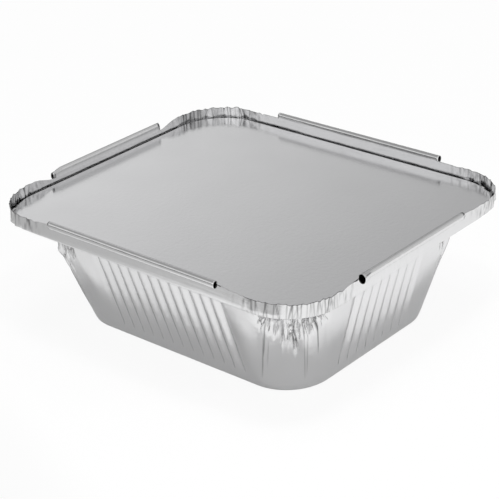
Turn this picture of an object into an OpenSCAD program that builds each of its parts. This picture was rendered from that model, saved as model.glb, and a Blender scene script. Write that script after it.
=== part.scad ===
// Pressed foil food container with a loose board lid.
// The tray is one sheet of foil: base, leaning walls with pressed ribs, ledge, upright flange with
// crimped corners, and a hollow bead rolled outwards along each straight side.

/* [Base] */
// Length of the base over its lower edge
base_l = 103; // [95:0.5:108]
// Width of the base over its lower edge
base_w = 82; // [76:0.5:88]
// Corner radius of the base
base_r = 17; // [13:0.5:20]
// Width of the foot ring that touches the table
foot_ring_w = 4; // [3:0.25:6]
// Height that the middle of the base is pressed up
base_lift = 0.6; // [0.3:0.1:1.2]
// Radius of the lower edge between base and walls
lower_edge_r = 2; // [1:0.25:3]

/* [Mouth] */
// Length of the food space at the ledge
mouth_l = 122; // [115:0.5:126]
// Width of the food space at the ledge
mouth_w = 103; // [97:0.5:107]
// Corner radius of the mouth
mouth_r = 15; // [12:0.5:18]
// Radius where the walls turn out into the ledge
mouth_edge_r = 1; // [0.6:0.1:1.6]

/* [Flange] */
// Length over the flange at its top edge
rim_l = 141; // [138:0.5:150]
// Width over the flange at its top edge
rim_w = 121.6; // [119:0.2:130]
// Corner radius of the flange
rim_r = 19; // [16:0.5:22]
// Height of the fold under the flange above the table
fold_z = 41.5; // [36:0.5:48]
// Height of the corner flange above its fold
flange_h = 5.4; // [4.5:0.1:7]
// Distance that the flange leans outwards on each side
flange_lean = 0.4; // [0:0.1:0.8]
// Radius of the fold under the flange
fold_r = 0.7; // [0.4:0.1:1.1]
// Rise of the ledge from the fold to its flat land
ledge_rise = 0.8; // [0:0.1:1.2]
// Width of the flat land that the lid lies on
land_w = 2; // [1:0.25:3]

/* [Bead] */
// Outside diameter of the rolled bead
bead_d = 2.2; // [1.6:0.1:2.6]
// Height of the bead's middle above the corner flange
bead_rise = 0.4; // [0:0.1:0.8]
// Turn of the foil round the bead, in degrees
bead_turn = 295; // [240:5:305]
// Length of the bead on each long side
bead_long = 75; // [64:0.5:84]
// Length of the bead on each short side
bead_short = 57; // [46:0.5:62]
// Shift of the right bead towards the front
bead_shift = 3; // [0:0.5:4]

/* [Ribs] */
// Grooves between the ribs on each long side
groove_count_long = 13; // [9:2:13]
// Grooves between the ribs on each short side
groove_count_short = 8; // [4:2:8]
// Spacing of the grooves on the long sides
groove_pitch_long = 4.72; // [4.4:0.02:4.8]
// Spacing of the grooves on the short sides
groove_pitch_short = 5; // [4.6:0.02:5.2]
// Width of a groove at the wall's face
groove_w = 2; // [1.4:0.1:2.6]
// Depth of a groove
groove_depth = 0.6; // [0.3:0.05:0.9]
// Height of the grooves' lower ends
groove_low = 4; // [3.5:0.25:8]
// Height of the grooves' upper ends
groove_high = 37.5; // [32:0.5:38.5]
// Run over which a groove fades out at each end
groove_fade = 2.5; // [1.5:0.25:4]

/* [Corners] */
// Crimps round each corner of the flange
crimp_count = 13; // [7:1:14]
// Depth of the crimps in the flange
crimp_depth = 0.32; // [0.1:0.02:0.45]
// Depth of the gathers in the corner walls
gather_depth = 0.4; // [0.1:0.02:0.6]
// Height of the gathers below the fold
gather_h = 17; // [10:0.5:22]

/* [Lid] */
// Thickness of the lid board
lid_t = 0.7; // [0.4:0.05:1]
// Clearance between the lid and the flange on each side
lid_gap = 1.4; // [0.8:0.1:2]
// Corner radius of the lid
lid_r = 19.5; // [16:0.5:24]

/* [Foil] */
// Thickness of the foil
foil_t = 0.08; // [0.06:0.01:0.15]

/* [Hidden] */

land_z = fold_z + ledge_rise;
rim_z = fold_z + flange_h;
bead_z = rim_z + bead_rise;
bead_r = bead_d / 2 - foil_t;

// Half length, half width and corner radius of the four outlines that the sheet passes through
outlines = [
    [base_l / 2, base_w / 2, base_r],
    [mouth_l / 2, mouth_w / 2, mouth_r],
    [rim_l / 2 - flange_lean, rim_w / 2 - flange_lean, rim_r - flange_lean],
    [rim_l / 2, rim_w / 2, rim_r]
];
BASE = 0;
MOUTH = 1;
FOLD = 2;
RIM = 3;

function mix(a, b, t) = a * (1 - t) + b * t;
function grown(outline, d) = [outline[0] + d, outline[1] + d, outline[2] + d];
// Outline of the wall at a height between the base and the ledge
function wall_at(z) = mix(outlines[BASE], outlines[MOUTH], z / land_z);
function wall_lean() = atan2((mouth_l + mouth_w - base_l - base_w) / 4, land_z);

// A row of the sheet is [outline, z, normal angle, mesh level, groove, crimp, gather].
// Its normal points to the outside of the tray, in degrees above the horizontal.
FINE = 0;
PLAIN = 1;
SPARSE = 2;
function row(outline, z, angle, level, groove = 0, crimp = 0, gather = 0) =
    [outline, z, angle, level, groove, crimp, gather];

edge_steps = 3;
lean = wall_lean();
// Setback of a rounded corner's ends from the point where the two faces would meet
lower_setback = lower_edge_r * tan((90 - lean) / 2);
mouth_setback = mouth_edge_r * tan((90 - lean) / 2);

base_rows = [
    row(grown(wall_at(0), -foot_ring_w - lower_setback - base_lift), base_lift, -90, SPARSE),
    row(grown(wall_at(0), -foot_ring_w - lower_setback), 0, -90, SPARSE),
    for (i = [0 : edge_steps])
        let (a = (90 - lean) * i / edge_steps)
        row(grown(wall_at(0), -lower_setback + lower_edge_r * sin(a)),
            lower_edge_r * (1 - cos(a)), -90 + a, SPARSE)
];
gather_mid = fold_z - gather_h;
wall_rows = [
    row(wall_at(groove_low), groove_low, -lean, FINE),
    row(wall_at(groove_low + groove_fade), groove_low + groove_fade, -lean, FINE, 1),
    row(wall_at(gather_mid), gather_mid, -lean, FINE, 1),
    row(wall_at(groove_high - groove_fade), groove_high - groove_fade, -lean, FINE, 1, 0, 1),
    row(wall_at(groove_high), groove_high, -lean, FINE, 0, 0, 0.8)
];
mouth_rows = [
    for (i = [0 : edge_steps - 1])
        let (a = (90 - lean) * i / (edge_steps - 1))
        row(grown(outlines[MOUTH], mouth_setback - mouth_edge_r * cos(a + lean)),
            land_z - mouth_edge_r * (1 - sin(a + lean)), -a - lean, PLAIN, 0, 0, i == 0 ? 0.5 : 0)
];
land_edge = mouth_setback + land_w;
ledge_rows = [
    row(grown(outlines[MOUTH], land_edge), land_z, -90, PLAIN),
    for (i = [0 : edge_steps])
        let (a = 90 * i / edge_steps)
        row(grown(outlines[FOLD], -fold_r * (1 - sin(a))), fold_z + fold_r * (1 - cos(a)), -90 + a,
            PLAIN, 0, i == edge_steps ? 0.35 : 0)
];
flange_rows = [
    row(mix(outlines[FOLD], outlines[RIM], 0.5), mix(fold_z, rim_z, 0.5), 0, PLAIN, 0, 0.8),
    row(outlines[RIM], rim_z, 0, PLAIN, 0, 1)
];
bead_steps = 12;
bead_rows = [
    for (i = [1 : bead_steps])
        let (a = 90 - bead_turn * i / bead_steps)
        row(grown(outlines[RIM], bead_r * (1 - sin(a))), bead_z + bead_r * cos(a), a - 90, PLAIN)
];
rows = concat(base_rows, wall_rows, mouth_rows, ledge_rows, flange_rows, bead_rows);
row_count = len(rows);
rim_row = row_count - bead_steps - 1;

// Sides run front, right, back, left. Even sides are the long ones.
function is_long(side) = side % 2 == 0;
function grooves(side) = is_long(side) ? groove_count_long : groove_count_short;
function pitch(side) = is_long(side) ? groove_pitch_long : groove_pitch_short;
function zone_half(side) = ((grooves(side) - 1) * pitch(side) + groove_w) / 2;
function rim_straight(side) = (is_long(side) ? rim_l : rim_w) / 2 - rim_r;
function bead_ends(side) =
    let (half = (is_long(side) ? bead_long : bead_short) / 2, shift = side == 1 ? bead_shift : 0)
    [-half - shift, half - shift];

// A column is [side, place, groove, wave, level, bead edge]. Up to 2 a place lies along the straight
// side: within 1 it is a share of the grooved zone, and from 1 to 2 it runs on to the corner. Above 2
// it runs round the corner, to 3.
function place_of(side, x) =
    let (zone = zone_half(side), over = abs(x) - zone)
    over <= 0 ? x / zone : sign(x) * (1 + over / (rim_straight(side) - zone));
function side_columns(side) =
    let (
        ends = [for (x = bead_ends(side)) place_of(side, x)],
        first = -(grooves(side) - 1) / 2 * pitch(side),
        zone = zone_half(side)
    )
    concat(
        [[side, -2, 0, 0, SPARSE, 0], [side, ends[0], 0, 0, SPARSE, 1]],
        [for (g = [0 : grooves(side) - 1], k = [-1 : 2 / 3 : 1])
            [side, (first + g * pitch(side) + k * groove_w / 2) / zone, abs(k) < 0.9 ? 1 : 0, 0, FINE, 0]],
        [[side, ends[1], 0, 0, SPARSE, -1]]
    );
// Crimps swell and shrink round the corner, so that no two are alike
function swell(k) = 0.65 + 0.35 * sin(k * 97) * cos(k * 41);
corner_steps = 2 * crimp_count;
function corner_columns(side) = concat(
    [[side, 2, 0, 0, SPARSE, 0]],
    [for (k = [1 : corner_steps - 1])
        let (fade = min(1, 4 * sin(180 * k / corner_steps)))
        [side, 2 + k / corner_steps, 0, (k % 2 * 2 - 1) * fade * swell(k + 31 * side),
            k % 4 == 2 ? SPARSE : PLAIN, 0]]
);
columns = [for (side = [0 : 3]) each concat(side_columns(side), corner_columns(side))];
column_count = len(columns);

// Unit vectors along a side and out of it
function along(side) = [cos(90 * side), sin(90 * side)];
function outward(side) = [sin(90 * side), -cos(90 * side)];
function straight_run(column, length) =
    let (p = column[1], zone = zone_half(column[0]), beyond = abs(p) - 1)
    beyond <= 0 ? p * zone : sign(p) * (zone + beyond * (length - zone));
function facing(column) =
    let (a = 90 * max(0, column[1] - 2))
    sin(a) * along(column[0]) + cos(a) * outward(column[0]);
function on_outline(outline, column) =
    let (
        side = column[0],
        half = is_long(side) ? outline[0] : outline[1],
        out = is_long(side) ? outline[1] : outline[0],
        r = outline[2],
        run = straight_run(column, half - r)
    )
    column[1] <= 2
        ? run * along(side) + out * outward(side)
        : (half - r) * along(side) + (out - r) * outward(side) + r * facing(column);

// Distance that a place on the sheet stands out of its outline
function relief(r, column) =
    -groove_depth * r[4] * column[2] + (crimp_depth * r[5] + gather_depth * r[6]) * column[3];
function flange_rise(i, column) = i == rim_row && abs(column[5]) == 1 ? bead_rise : 0;
function sheet_point(i, j, depth) =
    let (
        r = rows[i],
        c = columns[j],
        n = facing(c),
        p = on_outline(r[0], c) + (relief(r, c) - depth * cos(r[2])) * n
    )
    [p[0], p[1], r[1] + flange_rise(i, c) - depth * sin(r[2])];

points = [for (depth = [0, foil_t], i = [0 : row_count - 1], j = [0 : column_count - 1])
    sheet_point(i, j, depth)];

// Each row uses the columns of its own mesh level, and every other column snaps to the next one back
function last_kept(level, j) =
    columns[j][4] >= level ? j : last_kept(level, (j + column_count - 1) % column_count);
snapped = [for (level = [FINE, PLAIN, SPARSE]) [for (j = [0 : column_count - 1]) last_kept(level, j)]];
function id(layer, i, j) =
    (layer * row_count + i) * column_count + snapped[rows[i][3]][j % column_count];

function is_triangle(f) = f[0] != f[1] && f[1] != f[2] && f[2] != f[0];
// Two triangles between four places, without those that snapping closed up
function patch(a, b, c, d) = [for (f = [[a, b, c], [a, c, d]]) if (is_triangle(f)) f];

// Running count of bead edges passed, which is 1 on a column that starts a stretch of bead
in_bead = [for (j = 0, n = 0; j < column_count; n = n + columns[j][5], j = j + 1) n + columns[j][5]];
function has_cell(i, j) = i < rim_row || in_bead[j] == 1;

sheet_faces = [for (i = [0 : row_count - 2], j = [0 : column_count - 1]) if (has_cell(i, j)) each concat(
    patch(id(0, i, j), id(0, i + 1, j), id(0, i + 1, j + 1), id(0, i, j + 1)),
    patch(id(1, i, j), id(1, i, j + 1), id(1, i + 1, j + 1), id(1, i + 1, j)))];
edge_faces = [for (j = [0 : column_count - 1])
    let (i = in_bead[j] == 1 ? row_count - 1 : rim_row)
    each patch(id(0, i, j), id(1, i, j), id(1, i, j + 1), id(0, i, j + 1))];
bead_end_faces = [for (i = [rim_row : row_count - 2], j = [0 : column_count - 1])
    if (columns[j][5] != 0)
        each columns[j][5] == 1
            ? patch(id(0, i, j), id(1, i, j), id(1, i + 1, j), id(0, i + 1, j))
            : patch(id(0, i, j), id(0, i + 1, j), id(1, i + 1, j), id(1, i, j))];
// The base face starts within a corner, where no three places in a row lie on its first side
kept = [for (j = [0 : column_count - 1]) if (columns[j][4] == SPARSE) j];
corner_start = 5;
base_ring = [for (k = [0 : len(kept) - 1]) kept[(k + corner_start) % len(kept)]];
base_faces = [
    [for (j = base_ring) id(0, 0, j)],
    [for (k = [len(base_ring) - 1 : -1 : 0]) id(1, 0, base_ring[k])]
];

module tray() {
    color("silver")
        polyhedron(points, concat(sheet_faces, edge_faces, bead_end_faces, base_faces));
}

module rounded_plate(l, w, r, t) {
    linear_extrude(t) {
        square([l - 2 * r, w], center = true);
        square([l, w - 2 * r], center = true);
        for (x = [-1, 1], y = [-1, 1])
            translate([x * (l / 2 - r), y * (w / 2 - r)])
                circle(r, $fn = 96);
    }
}

module lid() {
    inset = flange_lean + foil_t + lid_gap;
    color("lightgray")
        translate([0, 0, land_z + foil_t])
            rounded_plate(rim_l - 2 * inset, rim_w - 2 * inset, lid_r, lid_t);
}

tray();
lid();
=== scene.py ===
import math

import bpy
import numpy as np
from mathutils import Matrix, Vector, noise


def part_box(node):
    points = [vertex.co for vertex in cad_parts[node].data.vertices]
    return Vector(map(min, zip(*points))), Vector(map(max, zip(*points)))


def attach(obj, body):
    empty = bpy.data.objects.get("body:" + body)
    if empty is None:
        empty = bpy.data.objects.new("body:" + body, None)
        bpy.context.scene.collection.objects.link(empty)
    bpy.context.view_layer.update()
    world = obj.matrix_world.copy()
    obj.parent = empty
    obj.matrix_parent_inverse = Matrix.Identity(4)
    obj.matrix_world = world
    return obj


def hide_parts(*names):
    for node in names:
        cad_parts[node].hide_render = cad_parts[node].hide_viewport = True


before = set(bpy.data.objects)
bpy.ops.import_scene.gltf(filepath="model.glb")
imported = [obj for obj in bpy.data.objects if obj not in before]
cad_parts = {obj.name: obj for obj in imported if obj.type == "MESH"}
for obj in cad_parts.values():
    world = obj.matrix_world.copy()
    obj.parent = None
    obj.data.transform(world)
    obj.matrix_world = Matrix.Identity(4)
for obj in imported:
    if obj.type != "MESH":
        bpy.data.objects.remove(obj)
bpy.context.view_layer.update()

millimetre = 0.001


# A shader socket that takes part in plain sums
class Field:
    def __init__(self, graph, socket):
        self.graph = graph
        self.socket = socket

    def calc(self, operation, first, second):
        return self.graph.node("Math", {"operation": operation}, {0: first, 1: second})

    def __add__(self, other):
        return self.calc("ADD", self, other)

    def __radd__(self, other):
        return self.calc("ADD", other, self)

    def __sub__(self, other):
        return self.calc("SUBTRACT", self, other)

    def __rsub__(self, other):
        return self.calc("SUBTRACT", other, self)

    def __mul__(self, other):
        return self.calc("MULTIPLY", self, other)

    def __rmul__(self, other):
        return self.calc("MULTIPLY", other, self)


# The nodes of one material or of the world
class Graph:
    def __init__(self, owner):
        owner.use_nodes = True
        self.tree = owner.node_tree
        self.tree.nodes.clear()

    def node(self, kind, settings=None, inputs=None, output=0):
        made = self.tree.nodes.new("ShaderNode" + kind)
        for name, value in (settings or {}).items():
            if name == "stops":
                self.setStops(made.color_ramp, value)
            else:
                setattr(made, name, value)
        for name, value in (inputs or {}).items():
            if isinstance(value, Field):
                self.tree.links.new(value.socket, made.inputs[name])
            else:
                made.inputs[name].default_value = value
        return Field(self, made.outputs[output]) if made.outputs else None

    def setStops(self, ramp, stops):
        ramp.elements.remove(ramp.elements[1])
        ramp.elements[0].position = stops[0][0]
        for place, shade in stops:
            stop = ramp.elements.new(place) if place > stops[0][0] else ramp.elements[0]
            stop.color = (shade, shade, shade, 1)


def newMaterial(name):
    material = bpy.data.materials.new(name)
    return material, Graph(material)


def deselectAll():
    bpy.ops.object.select_all(action="DESELECT")


def activate(piece):
    deselectAll()
    piece.select_set(True)
    bpy.context.view_layer.objects.active = piece


def smoothStep(low, high, x):
    t = np.clip((x - low) / (high - low), 0, 1)
    return t * t * (3 - 2 * t)


# Camera at the photograph's viewing angle, in degrees, millimetres and pixels, and its clip in metres
cameraValues = {
    "azimuth": 41.271,
    "elevation": 26.166,
    "roll": -2.497,
    "distance": 597.1,
    "right": -2.41,
    "up": 22.25,
    "focalPixels": 1639.8,
    "framePixels": 499,
    "sensor": 36.0,
    "clip": (0.01, 20.0),
}


def makeCamera(v):
    azimuth, elevation, roll = (math.radians(v[k]) for k in ("azimuth", "elevation", "roll"))
    back = Vector((math.sin(azimuth) * math.cos(elevation),
                   -math.cos(azimuth) * math.cos(elevation), math.sin(elevation)))
    level = Vector((math.cos(azimuth), math.sin(azimuth), 0))
    rise = back.cross(level)
    right = level * math.cos(roll) + rise * math.sin(roll)
    up = rise * math.cos(roll) - level * math.sin(roll)
    place = (back * v["distance"] + right * v["right"] + up * v["up"]) * millimetre
    deselectAll()
    bpy.ops.object.camera_add()
    camera = bpy.context.object
    camera.data.sensor_width = v["sensor"]
    camera.data.lens = v["sensor"] * v["focalPixels"] / v["framePixels"]
    camera.data.clip_start, camera.data.clip_end = v["clip"]
    turn = Matrix((right, up, back)).transposed().to_4x4()
    camera.matrix_world = Matrix.Translation(place) @ turn
    bpy.context.scene.camera = camera


makeCamera(cameraValues)
print("camera set")


# Pressed foil tray, in millimetres. Its sides run front, right, back, left. Base and mouth are half
# length, half width and corner radius.
trayLow, trayHigh = (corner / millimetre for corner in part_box("tray"))
trayValues = {
    "foil": 0.08,
    "base": (51.5, 41, 17),
    "baseLift": 0.6,
    "footRing": 4,
    "lowerEdge": 2.0,
    "mouth": (61, 51.5, 15),
    "mouthEdge": 1.0,
    "landWidth": 2,
    "ledgeRise": 0.8,
    "foldRadius": 0.7,
    "flangeHeight": 5.4,
    "flangeRows": (0.3, 0.63, 0.94, 1),
    "rimRadius": 19,
    "beadWidth": 2.2,
    "beadRise": 0.4,
    "beadTurn": 345,
    "beadRows": 12,
    "beadHalf": (37.5, 28.5, 37.5, 28.5),
    "beadShift": (0, -3, 0, 0),
    "beadLift": (0.8, 0.6, 0.1, -1.9),
    "beadTall": (1.2, 1.1, 1.25, 2.3),
    "beadDeep": 1.25,
    "flare": (0, 0.4, 0, -0.3),
    "flareRun": 5,
    "riseRun": 9,
    "clearDepth": 3,
    "grooveCount": (13, 8, 13, 8),
    "groovePitch": (4.69, 4.98, 4.72, 5.0),
    "grooveWidth": (4.4, 4.8, 4.4, 4.8),
    "grooveDepth": (1.0, 1.15, 1.0, 1.15),
    "grooveShift": (0.15, 0.7, 0, 0),
    "grooveSlant": (-0.115, 0.09, 0, 0),
    "grooveCentre": 17,
    "slideEnd": 1.5,
    "grooveLow": 2.2,
    "grooveFoot": 4.5,
    "grooveHigh": 37.5,
    "grooveFade": 2.5,
    "grooveMesh": (-0.42, -0.3, -0.18, -0.06, 0.06, 0.18, 0.3, 0.42),
    "plainColumns": 24,
    "cornerColumns": 96,
    "roundRows": 4,
    "footRows": 4,
    "wallRows": 5,
    "crumpleRows": 18,
    "patchBulge": (0.8, 0.1, 0.4, 0.1),
    "swellPower": 1.3,
    "patchTilt": (0.0, 1.2, 0.0, 0.0),
    "tiltHeights": (0.15, 0.5, 0.9, 1.0),
    "tiltEdge": 0.15,
    "crumpleDepth": 18,
    "weld": 0.002,
    # Strength of the painted shade along the crumpled facets' edges
    "facetPaintedShade": 0.9,
    "cloudRise": 2.6,
    "facetRise": 17.0,
    "seed": 12,
}


# A column of the sheet is (side, place). Up to 1 a place is a share of the side's grooved zone, from
# 1 to 2 it runs on to the corner, and from 2 to 3 it runs round the corner.
def sheetColumns(v, rim):
    columns = []
    for side in range(4):
        count, pitch = v["grooveCount"][side], v["groovePitch"][side]
        zone = count * pitch / 2
        straight = rim[side % 2] - rim[2]
        first = v["beadShift"][side] - v["beadHalf"][side]
        last = v["beadShift"][side] + v["beadHalf"][side]
        before, after = (1 + (abs(x) - zone) / (straight - zone) for x in (first, last))
        columns += [(side, -place) for place in stepsThrough(2, 1, before, v["plainColumns"])]
        for groove in range(count):
            middle = 2 * (groove + 0.5) / count - 1
            columns += [(side, middle + share * 2 * v["grooveWidth"][side] / pitch / count)
                        for share in v["grooveMesh"]]
            columns += [(side, 2 * (groove + 1) / count - 1)]
        columns = columns[:-1]
        columns += [(side, place) for place in stepsThrough(1, 2, after, v["plainColumns"])]
        columns += [(side, 2 + k / v["cornerColumns"]) for k in range(1, v["cornerColumns"])]
    return np.array(columns)


# Steps from start to stop, with the nearest one moved onto the mark
def stepsThrough(start, stop, mark, count):
    steps = np.linspace(start, stop, count + 1)
    steps[1 + np.abs(steps[1:-1] - mark).argmin()] = mark
    return list(steps)


def outwardOf(side):
    return np.stack([np.sin(side * math.pi / 2), -np.cos(side * math.pi / 2)], 1)


def alongOf(side):
    return np.stack([np.cos(side * math.pi / 2), np.sin(side * math.pi / 2)], 1)


def facingOf(columns):
    return outwardOf(columns[:, 0] + np.clip(columns[:, 1] - 2, 0, 1))


def runAlong(v, columns, length):
    side = columns[:, 0].astype(int)
    zone = (np.array(v["grooveCount"]) * np.array(v["groovePitch"]) / 2)[side]
    place = columns[:, 1]
    beyond = np.abs(place) - 1
    return np.where(beyond <= 0, place * zone, np.sign(place) * (zone + beyond * (length - zone)))


# Places of all columns on a rounded rectangle, given as half length, half width and corner radius
def onOutline(v, columns, outline):
    a, b, r = outline
    side = columns[:, 0]
    half = np.where(side % 2 == 0, a, b)[:, None]
    out = np.where(side % 2 == 0, b, a)[:, None]
    run = runAlong(v, columns, half[:, 0] - r)[:, None]
    straight = run * alongOf(side) + out * outwardOf(side)
    corner = (half - r) * alongOf(side) + (out - r) * outwardOf(side) + r * facingOf(columns)
    return np.where(columns[:, 1:] > 2, corner, straight)


# A row is half length, half width, corner radius, height, its shares of groove, pleat and crumple,
# and the scale at which its outline is drawn
def sheetRows(v, rim):
    base, mouth, rim = (np.array(outline, float) for outline in (v["base"], v["mouth"], rim))
    rimZ = trayHigh.z - v["beadWidth"] / 2 - v["beadRise"]
    foldZ = rimZ - v["flangeHeight"]
    landZ = foldZ + v["ledgeRise"]
    lean = math.atan2((mouth - base)[:2].mean(), landZ)
    setback = math.tan((math.pi / 2 - lean) / 2)
    lowerSet, mouthSet = v["lowerEdge"] * setback, v["mouthEdge"] * setback
    rows = []

    def add(outline, z, groove=0.0, pleat=0.0, crumple=0.0, scale=1.0):
        rows.append([*outline, z, groove, pleat, crumple, scale])

    panel = base - v["footRing"] - lowerSet
    for scale in (0, 0.6):
        add(panel, v["baseLift"], scale=scale)
    add(panel - v["baseLift"], v["baseLift"])
    add(panel, 0)
    for turn in np.linspace(0, math.pi / 2 - lean, v["roundRows"]):
        add(base - lowerSet + v["lowerEdge"] * math.sin(turn), v["lowerEdge"] * (1 - math.cos(turn)))
    wallLow = v["lowerEdge"] * (1 - math.sin(lean))
    wallHigh = landZ - v["mouthEdge"] * (1 - math.sin(lean))
    wallMiddle = foldZ - v["crumpleDepth"]
    grooveFull = v["grooveLow"] + v["grooveFoot"]
    heights = [*np.linspace(wallLow, grooveFull, v["footRows"])[1:],
               *np.linspace(grooveFull, wallMiddle, v["wallRows"])[1:],
               *np.linspace(wallMiddle, wallHigh, v["crumpleRows"])[1:-1]]
    for z in heights:
        groove = (smoothStep(v["grooveLow"], grooveFull, z)
                  * (1 - smoothStep(v["grooveHigh"] - v["grooveFade"], v["grooveHigh"], z)))
        add(base + (mouth - base) * z / landZ, z, groove, 0, 1)
    for turn in np.linspace(lean, math.pi / 2, v["roundRows"]):
        share = 1 - (turn - lean) / (math.pi / 2 - lean)
        add(mouth + mouthSet - v["mouthEdge"] * math.cos(turn),
            landZ - v["mouthEdge"] * (1 - math.sin(turn)), 0, 0, share)
    add(mouth + mouthSet + v["landWidth"], landZ)
    for turn in np.linspace(0, math.pi / 2, v["roundRows"]):
        add(rim - v["foldRadius"] * (1 - math.sin(turn)), foldZ + v["foldRadius"] * (1 - math.cos(turn)),
            0, turn / math.pi, 0.5 * turn / math.pi)
    flangeLow = foldZ + v["foldRadius"]
    for share in v["flangeRows"]:
        add(rim, flangeLow + (rimZ - flangeLow) * share, 0, 0.5 + 0.5 * share, 0.25 * (1 - share))
    return np.array(rows), foldZ


# Places round the sheet, measured along the rim, and the stretch of each corner with its gathers
def rimPlaces(v, columns, rim):
    ring = onOutline(v, columns, rim)
    steps = np.linalg.norm(np.roll(ring, -1, 0) - ring, axis=1)
    arc = np.concatenate([[0], np.cumsum(steps)])
    total, arc = arc[-1], arc[:-1]
    stretches = []
    for side in range(4):
        corner = np.where((columns[:, 0] == side) & (columns[:, 1] > 2))[0]
        stretches.append((arc[corner[0]], arc[corner[-1]]))
    return arc, total, stretches


def fromPlace(arc, place, total):
    return (arc - place + total / 2) % total - total / 2


def grooveRelief(v, columns):
    side = columns[:, 0].astype(int)
    count = np.array(v["grooveCount"])[side]
    pitch = np.array(v["groovePitch"])[side]
    place = (columns[:, 1] + 1) * count / 2 - 0.5
    offset = (place - np.round(place)) * pitch
    t = np.clip(np.abs(offset) / (np.array(v["grooveWidth"])[side] / 2), 0, 1)
    relief = -(0.5 + 0.5 * np.cos(t * math.pi)) * np.array(v["grooveDepth"])[side]
    return np.where(np.abs(columns[:, 1]) <= 1, relief, 0)


# The grooves lean a little along their wall, so their columns slide with the height
def grooveSlide(v, columns, z):
    side = columns[:, 0].astype(int)
    shift = np.array(v["grooveShift"])[side] + np.array(v["grooveSlant"])[side] * (z - v["grooveCentre"])
    return shift * (1 - smoothStep(1, v["slideEnd"], np.abs(columns[:, 1])))


# The plain stretch between the grooves and a corner swells a little. The one before the grooves can
# lean too, highest beside them.
def patchBulge(v, columns, z):
    across = np.clip(np.abs(columns[:, 1]) - 1, 0, 1)
    up = np.clip(z / v["grooveHigh"], 0, 1) ** v["swellPower"]
    side = columns[:, 0].astype(int)
    start, full, fade, end = v["tiltHeights"]
    swell = np.array(v["patchBulge"])[side] * (columns[:, 1] < 2)
    tilt = np.array(v["patchTilt"])[side] * (columns[:, 1] < -1) * smoothStep(start, full, up)
    tilt *= (1 - smoothStep(fade, end, up)) * (1 - across) * smoothStep(0, v["tiltEdge"], across)
    return swell * np.sin(across * math.pi) * np.sin(up * math.pi) ** 2 + tilt


# Gathers at the corners, in millimetres. The middle dart is (place, half width, length, slope), the long
# crease (place, start, end, slope) and a cell (width, height, size), with a place as a share of the
# corner's reach. The cells' lower end is ragged by (mean, swing, wavelength).
gatherValues = {
    "spacing": (0.35, 2.0),
    "step": (0.06, 0.32),
    "farStep": 0.15,
    "sharpness": 0.12,
    "pleatLean": 0.14,
    "pleatStrength": (0.3, 1),
    "lineHalf": 0.2,
    "overrun": 12,
    "dartCount": 30,
    "dartSpread": (0.1, 0.9),
    "dartOverrun": 2,
    "dartHalf": (0.8, 2.6),
    "dartLength": (11, 26),
    "dartShorten": 0.4,
    "dartPower": 1.6,
    "dartSlope": (0.35, 0.75),
    "dartLean": 0.12,
    "dartFan": 0.2,
    "middleDart": (0.08, 2.4, 17, 0.5),
    "middleCalm": 0.25,
    "longCrease": (0.3, 8, 37, 0.6),
    "creaseCount": 5,
    "creasePlace": (-0.9, 0.9),
    "creaseStart": (6, 18),
    "creaseEnd": (24, 38),
    "creaseHalf": 0.45,
    "creaseSlope": 0.4,
    "creaseSpread": (0.5, 1.3),
    "creaseLean": 0.03,
    "creaseFade": 4,
    "creaseStrength": (0.2, 1),
    "cells": ((3.2, 10, 2.1), (1.7, 6, 0.6)),
    "cellReach": 20.5,
    "cellDrop": (14, 30),
    "cellRagged": (0.5, 0.8, 2.6),
    "cellNarrow": 0.55,
    "cellSide": 0.75,
    "cellLow": 0.6,
    "cellGather": 0.04,
    "cellMean": 0.3,
    "cellLine": 0.08,
    "cellShade": 0.7,
    "cellStarts": 500,
    "flangeZone": 0.4,
    "edgeWave": 0.22,
    "edgeStep": 1.1,
    "edgeFade": 0.3,
    # Painted shade on the corners' top edge: where it starts and its range of strength
    "darkFrom": 1.75,
    "edgeShade": (0.4, 1.0),
    "waveLengths": (34, 19, 11),
    "wavesEach": 3,
    "waveHeight": 0.09,
}


# Strength of the painted shade of a crease line at an offset from its middle: full within half of
# lineHalf, and gone at one and a half times lineHalf
def lineShade(g, offset):
    return np.clip(1.5 - np.abs(offset) / g["lineHalf"], 0, 1)


# Pleats pressed flat against the flange: a step at each pleat line and a slight slope between them.
# The lines come back too, each with its own strength, as painted shade along the pleats.
def pleatSteps(g, arc, total, drop, stretches, random):
    field, lines = np.zeros((2, len(drop), len(arc)))
    for first, last in stretches:
        middle = (first + last) / 2
        offset = fromPlace(arc, middle, total)
        places, values, leans = [first - g["overrun"]], [0.0], [0.0]
        while places[-1] < last + g["overrun"]:
            line = places[-1] + random.uniform(*g["spacing"])
            nearness = 1 - smoothStep(0, g["overrun"], max(first - line, line - last, 0.0))
            step = random.uniform(*g["step"]) * random.choice([-1, 1])
            step *= g["farStep"] + (1 - g["farStep"]) * nearness
            lean = random.normal(0, g["pleatLean"])
            places += [line - g["sharpness"], line + g["sharpness"]]
            values += [step / 2, -step / 2]
            leans += [lean, lean]
            # Painted shade along this pleat line
            strength = random.uniform(*g["pleatStrength"]) * nearness
            shade = lineShade(g, offset + middle - line - lean * drop[:, None])
            lines = np.maximum(lines, shade * strength)
        places, leans = np.array(places) - middle, np.array(leans)
        for i, below in enumerate(drop):
            marks = np.maximum.accumulate(places + leans * below)
            field[i] += np.interp(offset, marks, values, left=0, right=0)
    return field, lines
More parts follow.
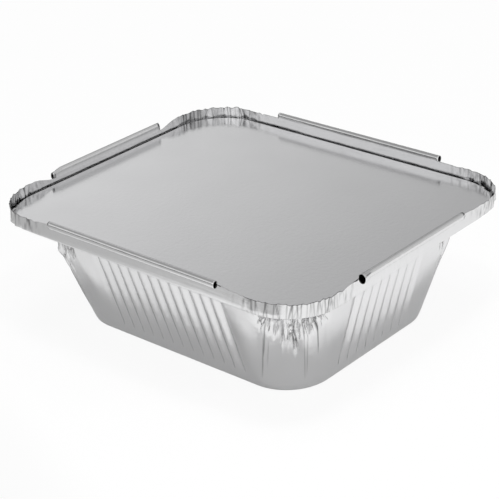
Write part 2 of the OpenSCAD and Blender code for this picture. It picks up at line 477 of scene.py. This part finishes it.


# Small sharp-edged facets of crumpled foil below the flange's corners, with painted shade along their
# edges, and their zone
def crumpleCells(g, arc, total, drop, stretches, random):
    field, lines, zone = np.zeros((3, len(drop), len(arc)))
    mean, swing, wavelength = g["cellRagged"]
    for first, last in stretches:
        middle, start = (first + last) / 2, random.uniform(0, g["cellStarts"])
        for column in np.where(np.abs(fromPlace(arc, middle, total)) < g["cellReach"])[0]:
            across = fromPlace(arc[column], middle, total)
            ragged = mean + swing * noise.noise(Vector((across / wavelength + start, 0, 0)))
            end = g["cellDrop"][0] + (g["cellDrop"][1] - g["cellDrop"][0]) * ragged
            end *= 1 - g["cellNarrow"] * abs(across) / g["cellReach"]
            side = 1 - smoothStep(g["cellSide"] * g["cellReach"], g["cellReach"], abs(across))
            for row, below in enumerate(drop):
                low = 1 - smoothStep(g["cellLow"] * end, end, below)
                share = side * smoothStep(-1, 1, below) * low
                zone[row, column] = side * low * (g["flangeZone"] if below < 0 else 1)
                if share <= 0:
                    continue
                for width, height, size in g["cells"]:
                    turned = across * (1 + g["cellGather"] * below)
                    place = Vector((turned / width + start, below / height, 0))
                    gap = noise.noise(place, noise_basis="VORONOI_F2F1")
                    field[row, column] += share * size * (gap - g["cellMean"])
                    # Painted shade along the facet's edge
                    line = g["cellShade"] * share * max(0.0, 1 - abs(gap) / g["cellLine"])
                    lines[row, column] = max(lines[row, column], line)
    return field, lines, zone


# Darts of gathered foil that hang down the corner walls from the flange and narrow to a point
def crumpleDarts(g, arc, total, drop, stretches, random):
    field = np.zeros((len(drop), len(arc)))
    down = np.clip(drop, 0, None)[:, None]
    for first, last in stretches:
        middle, reach = (first + last) / 2, (last - first) / 2 + g["dartOverrun"]
        for k in range(g["dartCount"]):
            share = 2 * (k + random.uniform(*g["dartSpread"])) / g["dartCount"] - 1
            lean = random.normal(0, g["dartLean"]) - g["dartFan"] * share
            length = random.uniform(*g["dartLength"]) * (1 - g["dartShorten"] * share * share)
            half = random.uniform(*g["dartHalf"])
            slope = random.uniform(*g["dartSlope"]) * random.choice([-1, 1])
            x = np.abs(fromPlace(arc[None, :] - lean * down, middle + reach * share, total))
            field += slope * np.clip(half * (1 - (down / length) ** g["dartPower"]) - x, 0, None)
        share, half, length, slope = g["middleDart"]
        x = np.abs(fromPlace(arc[None, :], middle + share * reach, total))
        wide = np.clip(half * (1 - (down / length) ** 2) - x, 0, None)
        field = np.where(wide > 0, g["middleCalm"] * field - slope * wide, field)
    return field


# Long thin creases that run on down the corner walls, each with a line of painted shade. The long one,
# first in the list, doesn't lean.
def wallCreases(g, arc, total, drop, stretches, random):
    field, lines = np.zeros((2, len(drop), len(arc)))
    for first, last in stretches:
        middle, reach = (first + last) / 2, (last - first) / 2
        marks = [g["longCrease"]] + [
            (random.uniform(*g["creasePlace"]), random.uniform(*g["creaseStart"]),
             random.uniform(*g["creaseEnd"]),
             g["creaseSlope"] * random.uniform(*g["creaseSpread"]) * random.choice([-1, 1]))
            for _ in range(g["creaseCount"])]
        for k, (share, start, end, slope) in enumerate(marks):
            lean = random.normal(0, g["creaseLean"]) if k > 0 else 0
            x = np.abs(fromPlace(arc[None, :] - lean * drop[:, None], middle + reach * share, total))
            strength = (smoothStep(start, start + g["creaseFade"], drop)
                        * (1 - smoothStep(end - g["creaseFade"], end, drop)))[:, None]
            field += slope * strength * np.clip(g["creaseHalf"] - x, 0, None)
            # Painted shade along the crease
            line = lineShade(g, x) * strength * random.uniform(*g["creaseStrength"])
            lines = np.maximum(lines, line)
    return field, lines


# Soft unevenness of thin foil, from a few waves of random direction
def softWaves(g, points, random):
    field = np.zeros(points.shape[:-1])
    for length in g["waveLengths"]:
        for _ in range(g["wavesEach"]):
            direction = random.normal(0, 1, 3)
            direction *= 2 * math.pi / (length * np.linalg.norm(direction))
            field += np.sin(points @ direction + random.uniform(0, 2 * math.pi)) * length
    return field * g["waveHeight"] / sum(g["waveLengths"])


def clearSelection(mesh):
    for part in (mesh.vertices, mesh.edges, mesh.polygons):
        part.foreach_set("select", [False] * len(part))


def selectEdges(mesh, chosen):
    clearSelection(mesh)
    for edge in mesh.edges:
        if chosen[edge.vertices[0]] and chosen[edge.vertices[1]]:
            edge.select = True


# Extrudes the selected edges upwards once for each new row
def extrudeRows(count):
    bpy.ops.object.mode_set(mode="EDIT")
    bpy.ops.mesh.select_mode(type="EDGE")
    for _ in range(count):
        bpy.ops.mesh.extrude_edges_move(TRANSFORM_OT_translate={"value": (0, 0, 1)})
    bpy.ops.object.mode_set(mode="OBJECT")


# Row and column of each vertex, while the sheet is still a plain tube of one metre radius
def gridPlaces(mesh, columnCount):
    places = np.zeros(len(mesh.vertices) * 3)
    mesh.vertices.foreach_get("co", places)
    places = places.reshape(-1, 3)
    turn = -np.arctan2(places[:, 0], places[:, 1]) / (2 * math.pi)
    return np.rint(places[:, 2]).astype(int), np.rint(turn * columnCount).astype(int) % columnCount


# The rolled beads curl outwards and down from the flange's edge. The second value marks the columns that
# carry one.
def beadPoints(v, columns, rim, edgePoints):
    side = columns[:, 0].astype(int)
    run = runAlong(v, columns, np.array(rim)[side % 2] - rim[2])
    shift = np.array(v["beadShift"])[side]
    half = np.array(v["beadHalf"])[side]
    nearEnd = np.where(side == 1, half + run - shift, half - run + shift)
    flare = np.array(v["flare"])[side] * (1 - smoothStep(0, v["flareRun"], nearEnd))
    radius = (v["beadWidth"] / 2 - v["foil"]) * (1 + flare)
    rows = []
    for k in range(1, v["beadRows"] + 1):
        turn = math.pi / 2 - math.radians(v["beadTurn"]) * k / v["beadRows"]
        out = radius * (1 - math.sin(turn))
        tall = np.array(v["beadTall"])[side] if math.cos(turn) > 0 else v["beadDeep"]
        lift = v["beadRise"] + tall * radius * math.cos(turn)
        rows.append(np.column_stack([edgePoints[:, :2] + out[:, None] * facingOf(columns),
                                     edgePoints[:, 2] + lift]))
    return np.array(rows), (columns[:, 1] <= 2) & (np.abs(run - shift) <= half + 0.001)


# The free edge of the flange stands at each side's own height, and it is ragged at the corners
def edgeRise(v, g, columns, rim, arc, total, random):
    side = columns[:, 0].astype(int)
    run = runAlong(v, columns, np.array(rim)[side % 2] - rim[2])
    fromBead = np.abs(run - np.array(v["beadShift"])[side]) - np.array(v["beadHalf"])[side]
    inSide = np.where(columns[:, 1] <= 2, 1 - smoothStep(0, v["riseRun"], fromBead), 0)
    marks = np.arange(0, total, g["edgeStep"])
    ragged = np.interp(arc, marks, random.normal(0, g["edgeWave"], len(marks)))
    return inSide * np.array(v["beadLift"])[side] + (1 - smoothStep(0, g["edgeFade"], inSide)) * ragged


# All points of the sheet by row and column, with the strength of the painted shade along its crease lines
# and corner edge, and its crumpled zone
def sheetPoints(v, g, columns, rim):
    random = np.random.RandomState(v["seed"])
    rows, foldZ = sheetRows(v, rim)
    arc, total, stretches = rimPlaces(v, columns, rim)
    drop = foldZ - rows[:, 3]
    pleats, pleatShadeLines = pleatSteps(g, arc, total, drop, stretches, random)
    gathers = crumpleDarts(g, arc, total, drop, stretches, random)
    creases, creaseShadeLines = wallCreases(g, arc, total, drop, stretches, random)
    cells, cellShadeLines, zone = crumpleCells(g, arc, total, drop, stretches, random)
    grooves = grooveRelief(v, columns)
    points = np.zeros((len(rows), len(columns), 3))
    for i, row in enumerate(rows):
        points[i, :, :2] = onOutline(v, columns, row[:3]) * row[7]
        points[i, :, 2] = row[3]
    waves = softWaves(g, points, random)
    paintedShades = np.zeros((len(rows), len(columns)))
    for i, (groove, pleat, crumple) in enumerate(rows[:, 4:7]):
        relief = groove * grooves + pleat * pleats[i]
        relief += crumple * (gathers[i] + creases[i] + cells[i] + waves[i])
        if groove + crumple >= 1:
            relief += patchBulge(v, columns, rows[i, 3])
            slide = grooveSlide(v, columns, rows[i, 3])
            points[i, :, :2] += slide[:, None] * alongOf(columns[:, 0])
        points[i, :, :2] += relief[:, None] * facingOf(columns)
        paintedShades[i] = pleat * pleatShadeLines[i] + crumple * np.maximum(creaseShadeLines[i], cellShadeLines[i])
    # Painted shade along the flange's top edge at the corners, ragged in strength
    ragged = random.uniform(*g["edgeShade"], len(columns))
    paintedShades[-1] = np.maximum(paintedShades[-1], smoothStep(g["darkFrom"], 2, np.abs(columns[:, 1])) * ragged)
    overLedge = v["flangeHeight"] - v["ledgeRise"]
    upTheFlange = np.clip((rows[:, 3] - foldZ - v["ledgeRise"]) / overLedge, 0, 1)
    points[:, :, 2] += upTheFlange[:, None] * edgeRise(v, g, columns, rim, arc, total, random)
    return points, paintedShades, zone


# The roll of each bead carries painted shade only inside, so its outer skin gets the plain colour back
def clearOuterBead(mesh, sheetCount, lowest):
    paintedShades = mesh.attributes["fold"].data
    for vertex in mesh.vertices[sheetCount:]:
        if paintedShades[vertex.index].value == 1 and vertex.co.z > lowest:
            paintedShades[vertex.index].value = 0


def makeTray(v, g):
    overhang = v["beadWidth"] - v["foil"]
    rim = (trayHigh.x - overhang, trayHigh.y - overhang, v["rimRadius"])
    columns = sheetColumns(v, rim)
    points, paintedShades, zone = sheetPoints(v, g, columns, rim)
    rimRow = len(points) - 1
    bead, inBead = beadPoints(v, columns, rim, points[-1])
    points = np.concatenate([points, bead])
    # The bead rolls carry full painted shade
    paintedShades = np.concatenate([paintedShades, np.ones(bead.shape[:2])])
    zone = np.concatenate([zone, np.zeros(bead.shape[:2])])

    deselectAll()
    bpy.ops.mesh.primitive_circle_add(vertices=len(columns), radius=1, location=(0, 0, 0))
    tray = bpy.context.object
    tray.name = "foilTray"
    mesh = tray.data
    extrudeRows(rimRow)
    rowOf, columnOf = gridPlaces(mesh, len(columns))
    selectEdges(mesh, (rowOf == rimRow) & inBead[columnOf])
    extrudeRows(v["beadRows"])
    rowOf, columnOf = gridPlaces(mesh, len(columns))
    mesh.vertices.foreach_set("co", (points[rowOf, columnOf] * millimetre).ravel())
    mesh.attributes.new("fold", "FLOAT", "POINT").data.foreach_set("value", paintedShades[rowOf, columnOf])
    mesh.attributes.new("zone", "FLOAT", "POINT").data.foreach_set("value", zone[rowOf, columnOf])
    mesh.update()

    activate(tray)
    bpy.ops.object.mode_set(mode="EDIT")
    bpy.ops.mesh.select_all(action="SELECT")
    bpy.ops.mesh.remove_doubles(threshold=v["weld"] * millimetre)
    bpy.ops.mesh.normals_make_consistent(inside=False)
    bpy.ops.object.mode_set(mode="OBJECT")
    solid = tray.modifiers.new("foil", "SOLIDIFY")
    solid.thickness = v["foil"] * millimetre
    solid.offset = -1
    sheetCount = len(mesh.vertices)
    bpy.ops.object.modifier_apply(modifier=solid.name)
    rimLow = points[rimRow, :, 2].min() * millimetre
    clearOuterBead(tray.data, sheetCount, rimLow - v["clearDepth"] * millimetre)
    bpy.ops.object.shade_smooth()
    return tray


def foilMaterial(v):
    material, g = newMaterial("rolledFoil")
    place = g.node("TexCoord", output="Object")
    drawn = g.node("Mapping", inputs={"Vector": place, "Scale": (60, 900, 900)})
    lines = g.node("TexNoise", inputs={"Vector": drawn, "Scale": 1.0, "Detail": 3.0})
    cloud = g.node("TexNoise", inputs={"Vector": place, "Scale": 130.0, "Detail": 4.0})
    # The attribute read here is painted shade along creases, inside the bead rolls and on the corners'
    # top edge
    fold = g.node("Attribute", {"attribute_name": "fold"}, output="Fac")
    zone = g.node("Attribute", {"attribute_name": "zone"}, output="Fac")
    upright = g.node("Mapping", inputs={"Vector": place, "Scale": (310, 310, 80)})
    facets = g.node("TexVoronoi", inputs={"Vector": upright, "Scale": 1.0}, output="Distance")
    edges = g.node("TexVoronoi", {"feature": "DISTANCE_TO_EDGE"}, {"Vector": upright, "Scale": 1.0},
                   output="Distance")
    line = g.node("ValToRGB", {"stops": ((0.02, 1), (0.08, 0))}, {"Fac": edges})
    patchy = g.node("TexNoise", inputs={"Vector": place, "Scale": 210.0, "Detail": 1.0})
    # Painted shade: the base colour goes towards near black in the creases, bead rolls, corner edge and
    # crumpled facet edges
    paintedDark = g.node("Clamp", inputs={"Value": fold + v["facetPaintedShade"] * zone * line * patchy})
    shade = g.node("MixRGB", inputs={"Fac": paintedDark, "Color1": (0.8, 0.8, 0.805, 1),
                                     "Color2": (0.08, 0.08, 0.08, 1)})
    height = lines + v["cloudRise"] * cloud + v["facetRise"] * zone * facets
    bump = g.node("Bump", inputs={"Strength": 1.0, "Distance": 0.00005, "Height": height})
    surface = g.node("BsdfPrincipled", inputs={
        "Base Color": shade, "Metallic": 1.0, "Roughness": 0.1 + 0.1 * cloud + 0.04 * lines,
        "Normal": bump})
    g.node("OutputMaterial", inputs={"Surface": surface})
    return material


tray = makeTray(trayValues, gatherValues)
tray.data.materials.append(foilMaterial(trayValues))
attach(tray, "root")
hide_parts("tray")
tray.data.calc_loop_triangles()
print("tray", len(tray.data.loop_triangles), "triangles")


# Board lid with a foil face, in millimetres
lidLow, lidHigh = (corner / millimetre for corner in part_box("lid"))
lidValues = {
    "overlap": 0.9,
    "cornerRadius": 19.5,
    "cornerSteps": 28,
    "edgeRadius": 0.12,
    "edgeSegments": 2,
    "flatBorder": 0.3,
    "flatFace": 0.999,
    "smoothAngle": 40,
}


# Selects the mesh's edges that a test picks by their two ends, in edit mode
def pickEdges(piece, test):
    bpy.ops.object.mode_set(mode="OBJECT")
    mesh = piece.data
    clearSelection(mesh)
    for edge in mesh.edges:
        ends = [mesh.vertices[k].co for k in edge.vertices]
        edge.select = bool(test(*ends))
    bpy.ops.object.mode_set(mode="EDIT")
    bpy.ops.mesh.select_mode(type="EDGE")


def makeLid(v):
    size = lidHigh - lidLow + Vector((2, 2, 0)) * v["overlap"]
    middle = (lidHigh + lidLow) / 2
    deselectAll()
    bpy.ops.mesh.primitive_cube_add(size=1, location=middle * millimetre, scale=size * millimetre)
    lid = bpy.context.object
    lid.name = "boardLid"
    bpy.ops.object.transform_apply(location=True, rotation=True, scale=True)
    half = size.z * millimetre / 2
    pickEdges(lid, lambda a, b: abs(a.z - b.z) > half)
    bpy.ops.mesh.bevel(offset=v["cornerRadius"] * millimetre, offset_type="OFFSET",
                       segments=v["cornerSteps"], affect="EDGES")
    pickEdges(lid, lambda a, b: abs(a.z - b.z) < half)
    bpy.ops.mesh.bevel(offset=v["edgeRadius"] * millimetre, offset_type="OFFSET",
                       segments=v["edgeSegments"], affect="EDGES")
    bpy.ops.mesh.select_mode(type="FACE")
    bpy.ops.mesh.select_all(action="DESELECT")
    bpy.ops.object.mode_set(mode="OBJECT")
    for face in lid.data.polygons:
        face.select = abs(face.normal.z) > v["flatFace"]
    bpy.ops.object.mode_set(mode="EDIT")
    bpy.ops.mesh.inset(thickness=v["flatBorder"] * millimetre)
    bpy.ops.object.mode_set(mode="OBJECT")
    bpy.ops.object.shade_smooth_by_angle(angle=math.radians(v["smoothAngle"]))
    return lid


def lidMaterial():
    material, g = newMaterial("foilFace")
    place = g.node("TexCoord", output="Object")
    mottle = g.node("TexNoise", inputs={"Vector": place, "Scale": 700.0, "Detail": 3.0})
    cloud = g.node("TexNoise", inputs={"Vector": place, "Scale": 40.0, "Detail": 3.0})
    bump = g.node("Bump", inputs={"Strength": 0.1, "Distance": 0.0002, "Height": mottle + cloud})
    surface = g.node("BsdfPrincipled", inputs={
        "Base Color": (0.8, 0.8, 0.81, 1), "Metallic": 1.0, "Roughness": 0.15 + 0.07 * cloud,
        "Normal": bump})
    g.node("OutputMaterial", inputs={"Surface": surface})
    return material


lid = makeLid(lidValues)
lid.data.materials.append(lidMaterial())
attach(lid, "root")
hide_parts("lid")
print("lid done")

stageValues = {
    "floorSize": 12.0,
    "floorShade": 0.8,
    # The floor is painted darker towards the front-left: painted shade that the foil mirrors
    "paintedFloorShade": {"towards": (-0.35, -0.94, 0), "stops": ((0.096, 1), (0.11, 0.72), (0.13, 0.56))},
    "cameraLift": 0.92,
    "mirrorLift": 0.08,
    "worldShade": 0.08,
    "backdrop": {"towards": (-1, 0, 0), "stops": ((0.1, 0.8), (0.7, 1)),
                 "across": (-0.707, -0.707, 0),
                 "acrossStops": ((0.05, 0.34), (0.4, 0.48), (0.52, 0.8), (0.9, 0.95)),
                 "heights": ((0.57, 0.08), (0.66, 0.97), (0.69, 1.0), (0.735, 0.7), (0.82, 0.34),
                             (0.95, 0.3))},
    "softboxes": (
        {"towards": (0.3, 0.4, 0.866), "stops": ((0.85, 0), (0.91, 0.22), (0.97, 0.4))},
        {"towards": (0.69, 0.72, 0.1), "stops": ((0.97, 0), (0.985, 0.45))},
        {"towards": (0.6, -0.67, 0.44), "stops": ((0.8, 0), (0.95, 0.4))},
    ),
    "suns": (
        {"strength": 0.92, "angle": 28, "tilt": (1.5, 0)},
        {"strength": 0.5, "angle": 12, "tilt": (-17.5, 54.8)},
    ),
    "lamp": {"place": (0.112, -0.064, 0.35), "size": 0.055, "power": 0.44},
}


def makeFloor(v):
    deselectAll()
    bpy.ops.mesh.primitive_plane_add(size=v["floorSize"])
    floor = bpy.context.object
    floor.name = "floor"
    material, g = newMaterial("paleFloor")
    place = g.node("TexCoord", output="Object")
    share = g.node("VectorMath", {"operation": "DOT_PRODUCT"},
                   {0: place, 1: v["paintedFloorShade"]["towards"]}, output="Value")
    # Painted shade on the floor, darker towards the front-left
    shade = v["floorShade"] * g.node("ValToRGB", {"stops": v["paintedFloorShade"]["stops"]}, {"Fac": share})
    camera = g.node("LightPath", output="Is Camera Ray")
    glossy = g.node("LightPath", output="Is Glossy Ray")
    mirrored = glossy + g.node("LightPath", output="Is Transmission Ray")
    white = v["cameraLift"] * camera + v["mirrorLift"] * mirrored
    paint = g.node("BsdfDiffuse", inputs={"Color": shade})
    paper = g.node("Emission", inputs={"Color": (1, 1, 1, 1), "Strength": 1.0})
    surface = g.node("MixShader", inputs={"Fac": white, 1: paint, 2: paper})
    g.node("OutputMaterial", inputs={"Surface": surface})
    floor.data.materials.append(material)


# How far a direction of the world points the given way, turned into a shade by the stops
def worldLobe(g, direction, towards, stops):
    share = g.node("VectorMath", {"operation": "DOT_PRODUCT"}, {0: direction, 1: towards}, output="Value")
    return g.node("ValToRGB", {"stops": stops}, {"Fac": 0.5 + 0.5 * share})


def makeWorld(v):
    world = bpy.data.worlds.new("studio")
    bpy.context.scene.world = world
    g = Graph(world)
    direction = g.node("TexCoord", output="Generated")
    back = v["backdrop"]
    shade = (worldLobe(g, direction, back["towards"], back["stops"])
             * worldLobe(g, direction, back["across"], back["acrossStops"])
             * worldLobe(g, direction, (0, 0, 1), back["heights"])) + v["worldShade"]
    for box in v["softboxes"]:
        shade = shade + worldLobe(g, direction, box["towards"], box["stops"])
    surface = g.node("Background", inputs={"Color": shade, "Strength": 1.0})
    g.node("OutputWorld", inputs={"Surface": surface})


def makeLights(v):
    for values in v["suns"]:
        deselectAll()
        bpy.ops.object.light_add(type="SUN", location=(0, 0, 1))
        sun = bpy.context.object
        sun.rotation_euler = [math.radians(turn) for turn in (*values["tilt"], 0)]
        sun.data.angle = math.radians(values["angle"])
        sun.data.energy = values["strength"]
        sun.visible_glossy = False  # a mirrored sun would bleach the lid
    deselectAll()
    bpy.ops.object.light_add(type="AREA", location=v["lamp"]["place"])
    lamp = bpy.context.object
    lamp.data.shape = "DISK"
    lamp.data.size = v["lamp"]["size"]
    lamp.data.energy = v["lamp"]["power"]
    lamp.visible_glossy = False


makeFloor(stageValues)
makeWorld(stageValues)
makeLights(stageValues)
bpy.context.scene.view_settings.view_transform = "Standard"
print("stage done")
